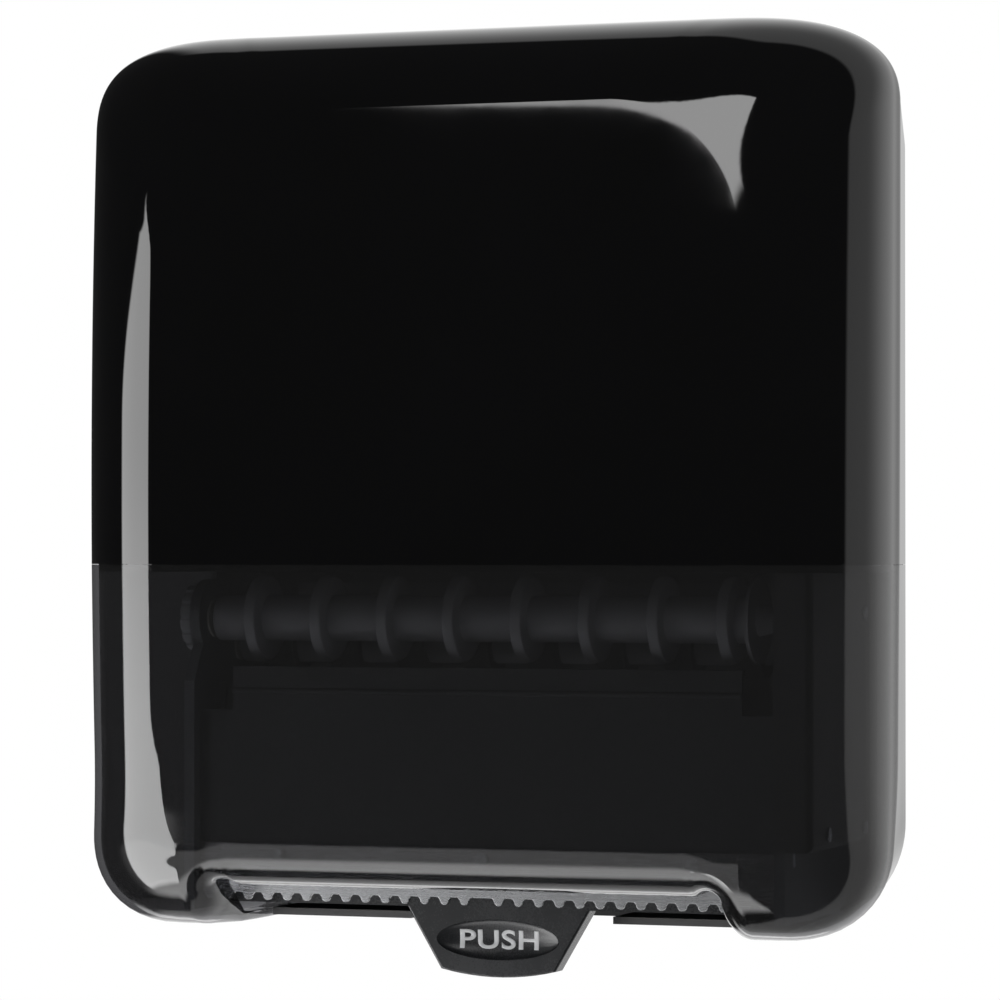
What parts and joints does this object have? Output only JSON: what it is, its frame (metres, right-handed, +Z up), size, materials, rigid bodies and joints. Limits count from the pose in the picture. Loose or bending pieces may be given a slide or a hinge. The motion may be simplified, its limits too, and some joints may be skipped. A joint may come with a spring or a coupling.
{
  "type": "lever paper towel dispenser",
  "caption": "Wall-hung roll paper towel dispenser with a wrap-around cover, a smoked lower window, a toothed tear bar and a push lever that feeds the towel.",
  "frame": {"origin": "centre of the four wall screws, on the wall plane, at mid height of the cover", "axes": "+X to the right as seen from the front, +Y to the wall, +Z up"},
  "size_m": [0.346, 0.203, 0.3885],
  "materials": {
    "black_gloss": "gloss",
    "smoked": "clear gloss, smoked",
    "housing_black": "fine texture",
    "frame_grey": "satin",
    "guide_grey": "satin",
    "tear_grey": "satin",
    "lever_grey": "satin",
    "roller_grey": "satin",
    "gear_white": "satin",
    "tyre_rubber": "matte",
    "steel": "zinc plated",
    "spring_steel": "oiled",
    "lock_metal": "nickel plated",
    "bush_white": "natural"
  },
  "bodies": {
    "housing": {"rear_housing": "housing_black", "chassis_plate": "frame_grey", "side_frame_left": "frame_grey", "side_frame_right": "frame_grey", "chassis_screws": "steel", "frame_screws": "steel", "front_guide": "guide_grey", "rear_guide": "guide_grey", "guide_screws": "steel", "tear_bar": "tear_grey", "tear_bar_screws": "steel", "feed_bush_left": "bush_white", "feed_bush_right": "bush_white", "lever_bush_left": "bush_white", "lever_bush_right": "bush_white", "pressure_bush_left": "bush_white", "pressure_bush_right": "bush_white", "hinge_pin_left": "steel", "hinge_pin_right": "steel", "lock_strike": "steel", "gear_cover": "housing_black", "gear_cover_screws": "steel", "arm_pin_left": "steel", "arm_pin_right": "steel", "lever_return_spring": "spring_steel"},
    "cover": {"cover_upper": "black_gloss", "cover_window": "smoked", "cover_screws": "steel", "lock_housing": "lock_metal"},
    "lock": {"lock_barrel": "lock_metal", "lock_cam": "steel", "lock_cam_screw": "steel"},
    "lever": {"push_lever": "lever_grey", "lever_axle": "steel", "sector_gear": "gear_white", "axle_clips": "spring_steel"},
    "feed": {"feed_roller": "roller_grey", "feed_shaft": "steel", "feed_pinion": "gear_white", "clutch_drum": "gear_white", "hand_wheel": "roller_grey"},
    "pressure": {"pressure_roller": "roller_grey", "pressure_tyres": "tyre_rubber"},
    "arm_left": {"roll_arm_left": "frame_grey"},
    "arm_right": {"roll_arm_right": "frame_grey"},
    "hub_left": {"roll_hub_left": "roller_grey"},
    "hub_right": {"roll_hub_right": "roller_grey"}
  },
  "joints": [
    {"name": "cover_hinge", "type": "hinge", "parent": "housing", "child": "cover", "pos_m": [0, -0.079, -0.179], "axis": [1, 0, 0], "range_deg": [0, 95]},
    {"name": "lock_turn", "type": "hinge", "parent": "cover", "child": "lock", "pos_m": [0, -0.1025, 0.165], "axis": [0, 0, 1], "range_deg": [0, 90]},
    {"name": "lever_swing", "type": "hinge", "parent": "housing", "child": "lever", "pos_m": [0, -0.135, -0.12596], "axis": [1, 0, 0], "range_deg": [0, 25], "stiffness_Nm_per_rad": 0.4, "springref_deg": -20.05},
    {"name": "feed_roller_turn", "type": "hinge", "parent": "housing", "child": "feed", "pos_m": [0, -0.147, -0.057], "axis": [1, 0, 0], "range_deg": [-194, 0]},
    {"name": "pressure_roller_turn", "type": "hinge", "parent": "housing", "child": "pressure", "pos_m": [0, -0.11963, -0.0689], "axis": [1, 0, 0], "range_deg": [0, 283]},
    {"name": "roll_arm_left_swing", "type": "hinge", "parent": "housing", "child": "arm_left", "pos_m": [-0.1126, -0.012, 0.06], "axis": [0, 0, -1], "range_deg": [0, 12], "stiffness_Nm_per_rad": 0.4},
    {"name": "roll_arm_right_swing", "type": "hinge", "parent": "housing", "child": "arm_right", "pos_m": [0.1126, -0.012, 0.06], "axis": [0, 0, 1], "range_deg": [0, 12], "stiffness_Nm_per_rad": 0.4},
    {"name": "roll_hub_left_turn", "type": "hinge", "parent": "arm_left", "child": "hub_left", "pos_m": [-0.11, -0.103, 0.06], "axis": [1, 0, 0], "continuous": true},
    {"name": "roll_hub_right_turn", "type": "hinge", "parent": "arm_right", "child": "hub_right", "pos_m": [0.11, -0.103, 0.06], "axis": [1, 0, 0], "continuous": true}
  ],
  "couplings": [
    {"joint": "feed_roller_turn", "follows": "lever_swing", "ratio": -7.75},
    {"joint": "pressure_roller_turn", "follows": "lever_swing", "ratio": 11.302}
  ]
}
